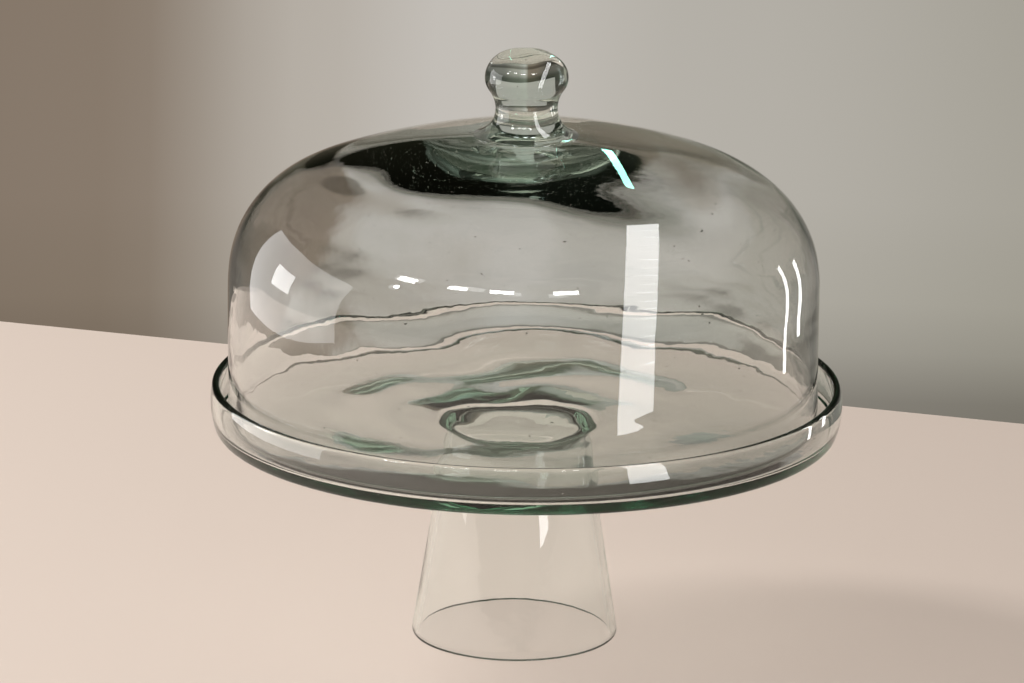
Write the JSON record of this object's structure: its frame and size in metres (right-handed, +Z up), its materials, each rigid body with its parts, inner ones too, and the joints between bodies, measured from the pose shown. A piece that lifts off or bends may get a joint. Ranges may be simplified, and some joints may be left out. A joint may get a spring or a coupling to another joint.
{
  "type": "cake stand with glass dome",
  "caption": "Round footed glass plate with an upturned rim, under a lift-off glass dome with a ball knob, for showing and covering a cake.",
  "frame": {"origin": "centre of the foot ring, on the table", "axes": "+Z up along the axis that every piece is turned about; +X and +Y level, with nothing to tell them apart"},
  "size_m": [0.3122, 0.3122, 0.297],
  "materials": {
    "recycled_glass": "clear hand-blown glass with a pale green tint, fire-polished, with small bubbles and soft ripples"
  },
  "bodies": {
    "stand": {"stand_pedestal": "recycled_glass", "stand_plate": "recycled_glass"},
    "dome": {"dome_bell": "recycled_glass", "dome_knob": "recycled_glass"}
  },
  "joints": [
    {"name": "dome_lift", "type": "slide", "parent": "stand", "child": "dome", "axis": [0, 0, 1], "range_m": [0, 0.15]}
  ]
}
